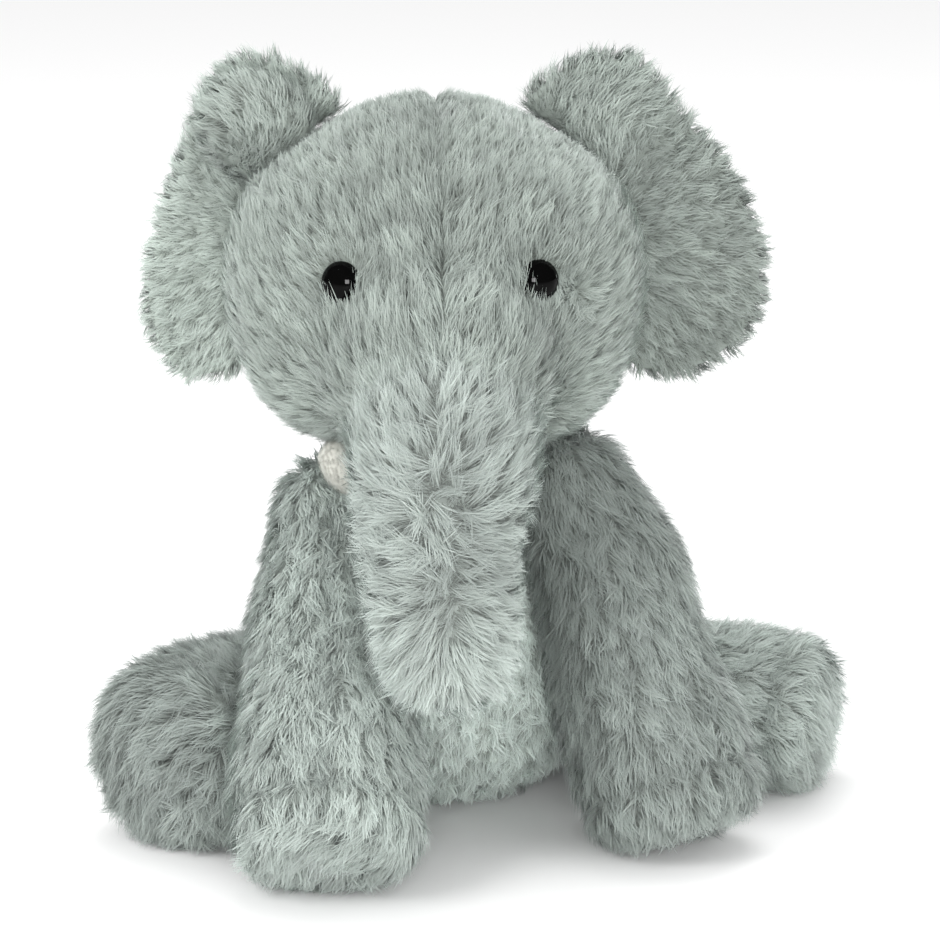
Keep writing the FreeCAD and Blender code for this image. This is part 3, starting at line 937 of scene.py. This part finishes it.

# %% [markdown]
# ## Combing the legs
# On a front leg the pile runs down to the foot, and on a hind leg, which lies on the ground,
# out to its side. The sole is a round panel sewn into the end of the tube: the seam round it
# is a crease, and on the sole the pile swirls. A seam also runs down the front of each leg.
# Two places are fuller than the CAD part, where filling has gathered, and the armpit beside
# the trunk is painted in deep shade. Each leg is painted lighter or darker as the light falls on
# it, and painted shade darkens the crease round its sole and its seam.

# %% Leg orders
FULLER = {"front_leg_left": ((56, -36, 70), 5.5), "front_leg_right": ((-48, -56, 60), 3.5)}
FULLER_WIDTH = 17 * MM
ARMPIT, ARMPIT_WIDTH = np.array([20, -46, 82]) * MM, 20 * MM
# painted light and shade: each leg's tone is set by how much light falls on it
LEG_PAINTED_LIGHT = {"front_leg_left": 0.24, "front_leg_right": 0.72,
            "hind_leg_left": 0.66, "hind_leg_right": 0.26}
UP = np.array([0, 0, 1.0])
legs = {}
for number, leg in enumerate(LEGS):
    skin = skins[leg]
    p, n = coordinates(skin), normals(skin)
    root = joints[leg]
    sole = middle_of(f"{leg}_sole")
    along = unit(sole - root)
    s = ((p - sole) @ along) / MM
    radial = p - sole - np.outer((p - sole) @ along, along)
    across = unit(np.cross(along, UP))
    top = unit(np.cross(across, along))
    foot = step(n @ along, 0.45, 0.8) * step(s, -14, -6)
    crease = bump(s + 5, 2.2) * (1 - foot)
    seam = bump((radial @ across) / MM, 1.8) * step(n @ top, 0.2, 0.6)
    push(skin, -(1.2 * crease + 1.2 * seam) * MM)
    if leg in FULLER:
        at, amount = FULLER[leg]
        near_it = bump(np.linalg.norm(p - np.array(at) * MM, axis=1), FULLER_WIDTH)
        push(skin, amount * near_it * MM)
    front_leg = leg.startswith("front")
    if front_leg:
        comb = along - 0.25 * UP + 0 * p
    else:
        comb = np.array([math.copysign(1.0, root[0]), 0.3, -0.45]) + 0 * p
    wild = np.array([0.5, 0, -0.9]) if leg.endswith("left") else np.array([-0.4, 0, -0.9])
    comb = comb * (1 - foot[:, None]) + wild * foot[:, None]
    comb += 1.5 * foot[:, None] * swirl(p, sole + 4 * MM * UP, along, 14 * MM)
    armpit = 1.6 * bump(np.linalg.norm(p - ARMPIT, axis=1), ARMPIT_WIDTH)
    orders(
        leg, comb,
        pile=7.4 + 0.2 * foot - 1.8 * crease - 1.2 * seam,
        stand=0.68 + 0.3 * foot,
        # painted light or shade for each leg, and painted shade in the crease, the seam and the
        # armpit
        tone=LEG_PAINTED_LIGHT[leg] - 0.1 * foot - 0.3 * crease - 0.2 * seam - armpit,
        thick=(1 - 0.4 * step(n[:, 1], 0.1, 0.5)) * (1 - 0.6 * step(-n[:, 2], 0.7, 0.9)),
        near=["torso", "trunk"] + (["chin"] if front_leg else []),
    )
    legs[leg] = grow(leg, plush["body_plush"], 0.72, mess=0.28, lock=10, strength=0.40,
                     spread=0.2, gather=1.0, thickness=0.85, seed=10 + number)

# %% [markdown]
# ## Combing the rest
# The torso's pile runs down, palest on the belly. The chin and the neck band are of another
# cloth, with a pile so short that it stands like velvet. The tail is a strip of plush that
# ends in a longer tassel.

# %% Torso, chin, neck and tail
p, n = coordinates(skins["torso"]), normals(skins["torso"])
comb = np.column_stack([0 * p[:, 0], 0 * p[:, 0], -1 + 0 * p[:, 0]])
seam = bump(p[:, 0] / MM, 1.8) * step(n[:, 1], 0.1, 0.5)
push(skins["torso"], -1.4 * seam * MM)
orders("torso", comb, pile=6.2 - 1.2 * seam, stand=0.8,
       # painted shade in the seam down the back
       tone=0.05 + 0.90 * step(-n[:, 1], 0.0, 0.6) - 0.2 * seam,
       thick=(1 - 0.3 * step(n[:, 1], 0.1, 0.5)) * (1 - 0.7 * step(-n[:, 2], 0.7, 0.9)),
       near=[*LEGS, "head", "neck"])
torso = grow("torso", plush["belly_plush"], 0.58, mess=0.32, lock=8, strength=0.4, gather=1.6,
             seed=20)

CHIN_DROP, CHIN_LEFT_SCALE = 3.0 * MM, 0.72   # it sags to the right, away from the trunk
p = coordinates(skins["chin"])
right = step(-p[:, 0] / MM, -12, 12)
p[:, 0] = np.where(p[:, 0] > 0, p[:, 0] * CHIN_LEFT_SCALE, p[:, 0])
p[:, 2] -= CHIN_DROP * right
set_coordinates(skins["chin"], p)
orders("chin", np.array([0, -0.3, -1.0]), pile=1.3, stand=0.8, tone=0.6, thick=1.0)
chin = grow("chin", plush["short_pile"], 2.2, mess=0.3, lock=3, strength=0.2, spread=0.1,
            thickness=1.3, gather=0.2, seed=21)
orders("neck", np.array([0, 0, -1.0]), pile=1.7, stand=1.1, tone=0.35, thick=1.0)
neck = grow("neck", plush["short_pile"], 0.8, mess=0.4, lock=3, strength=0.3, thickness=1.6,
            seed=22)
p = coordinates(skins["tail"])
end = step(-p[:, 2], -20 * MM, -12 * MM)
orders("tail", np.array([0, 0.2, -1.0]), pile=3.5 + 7.0 * end, stand=0.6, tone=0.5, thick=1.0)
tail = grow("tail", plush["body_plush"], 0.9, mess=0.3, lock=5, strength=0.2, seed=23)

# %% [markdown]
# ## Eyes
# Each eye is a moulded black dome on a stem, pushed through the plush and locked with a
# washer. Polished plastic under soft boxes shows black with one small clear highlight.

# %% Eyes
EYE_RADIUS, EYE_FLATNESS, EYE_SINK = 5.2 * MM, 0.72, 4.4 * MM
eye_black = plain_material("eye_black", (0.002, 0.002, 0.002), 0.05)
gloss = eye_black.node_tree.nodes["Principled BSDF"]
gloss.inputs["IOR"].default_value = 1.15
eye_pieces = []
for side, at, move in zip(("right", "left"), eyes, EYE_MOVES):
    corners = points_of(f"eye_{side}")
    outward = unit(at - head_at)
    reach = ((corners - head_at) @ outward).max()
    mesh = bpy.data.meshes.new(f"eye_dome_{side}")
    shape = bmesh.new()
    bmesh.ops.create_uvsphere(shape, u_segments=64, v_segments=32, radius=EYE_RADIUS)
    turn = Vector(outward).to_track_quat("Z", "Y").to_matrix().to_4x4()
    centre = head_at + outward * (reach - EYE_SINK) + move * MM
    bmesh.ops.transform(shape, verts=shape.verts, matrix=Matrix.Translation(centre) @ turn
                        @ Matrix.Diagonal((1, 1, EYE_FLATNESS, 1)))
    shape.to_mesh(mesh)
    shape.free()
    mesh.shade_smooth()
    mesh.materials.append(eye_black)
    eye = bpy.data.objects.new(mesh.name, mesh)
    bpy.context.collection.objects.link(eye)
    eye_pieces.append(eye)
    print(eye.name, "at", np.round(centre, 4))

# %% [markdown]
# ## Joining the frame
# Each piece rides the body whose CAD parts it stands for.

# %% Ride and replace
STANDS_FOR = {
    "head": (head, "head", "head_plush",
             ["head_side_left", "head_side_right", "head_filling_left",
              "head_filling_right", "eye_washer_left", "eye_washer_right"], 0.9),
    "chin": (chin, "head", "short_pile", ["chin_gusset", "chin_filling"], 0.7),
    "neck": (neck, "neck", "short_pile", ["neck_band", "neck_filling"], 0.7),
    "trunk": (trunk, "trunk", "trunk_plush",
              ["trunk_side_left", "trunk_side_right", "trunk_filling"], 0.8),
    "torso": (torso, "torso", "body_plush",
              ["belly_panel", "back_panel_left", "back_panel_right", "torso_filling",
               "bean_pouch"], 0.8),
    "tail": (tail, "tail", "body_plush", ["tail_strip"], 0.2),
}
for piece, side in zip(ears, ("left", "right")):
    STANDS_FOR[f"ear_{side}"] = (piece, f"ear_{side}", "ear_plush",
                                 [f"ear_front_{side}", f"ear_back_{side}"], 0.3)
for leg, piece in legs.items():
    STANDS_FOR[leg] = (piece, leg, "body_plush",
                       [f"{leg}_outer", f"{leg}_inner", f"{leg}_sole", f"{leg}_filling"], 0.8)
for piece, body, slot, nodes, fill in STANDS_FOR.values():
    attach(piece, body)
    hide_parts(*nodes)
for eye, side in zip(eye_pieces, ("right", "left")):
    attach(eye, "head")
    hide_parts(f"eye_{side}")
for tuft in list(tufts.objects):
    bpy.data.objects.remove(tuft)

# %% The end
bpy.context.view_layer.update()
